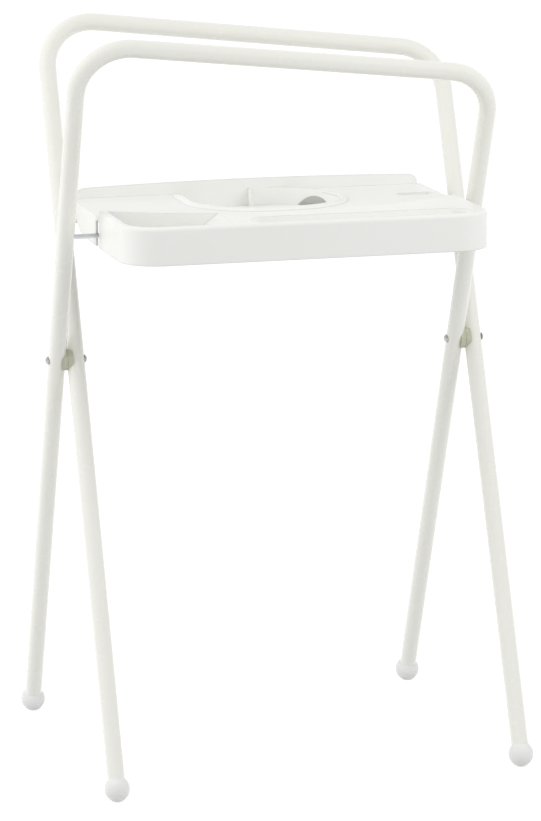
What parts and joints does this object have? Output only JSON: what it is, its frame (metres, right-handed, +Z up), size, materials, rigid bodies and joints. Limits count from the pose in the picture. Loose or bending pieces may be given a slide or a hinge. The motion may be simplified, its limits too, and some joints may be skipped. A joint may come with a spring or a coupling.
{
  "type": "baby bath stand",
  "caption": "Folding stand for a baby bath: crossed tube frames with sloping top bars and ball feet, and a moulded tray with a cup well between the legs.",
  "frame": {"origin": "on the floor, in the middle of the stand's outline", "axes": "+X to the right along the top bars, -Y towards the front where the tray stands out, +Z up"},
  "size_m": [0.576, 0.4602, 0.926],
  "materials": {
    "tube": "gloss enamel",
    "ball": "gloss",
    "rod": "bright drawn",
    "bolt": "satin",
    "saddle": "matte",
    "tray": "satin",
    "screw": "zinc plated"
  },
  "bodies": {
    "frame_a": {"frame_a_tube": "tube", "foot_back_left": "ball", "foot_back_right": "ball", "front_rod": "rod", "pivot_bolt_left": "bolt", "pivot_bolt_right": "bolt", "sleeve_nut_left": "bolt", "sleeve_nut_right": "bolt", "saddle_a_left": "saddle", "saddle_a_right": "saddle"},
    "frame_b": {"frame_b_tube": "tube", "foot_front_left": "ball", "foot_front_right": "ball", "rear_rod": "rod", "saddle_b_left": "saddle", "saddle_b_right": "saddle"},
    "tray": {"tray_front": "tray", "tray_rear": "tray", "rod_keeper_left": "tray", "rod_keeper_right": "tray", "keeper_screws": "screw", "tab_screws": "screw"}
  },
  "joints": [
    {"name": "legs_fold", "type": "hinge", "parent": "frame_a", "child": "frame_b", "pos_m": [0, 0.0084, 0.512], "axis": [1, 0, 0], "range_deg": [0, 38]},
    {"name": "tray_tilt", "type": "hinge", "parent": "frame_a", "child": "tray", "pos_m": [0, -0.0601, 0.67737], "axis": [1, 0, 0], "range_deg": [0, 95]}
  ],
  "couplings": [
    {"joint": "tray_tilt", "follows": "legs_fold", "ratio": 2.5}
  ]
}
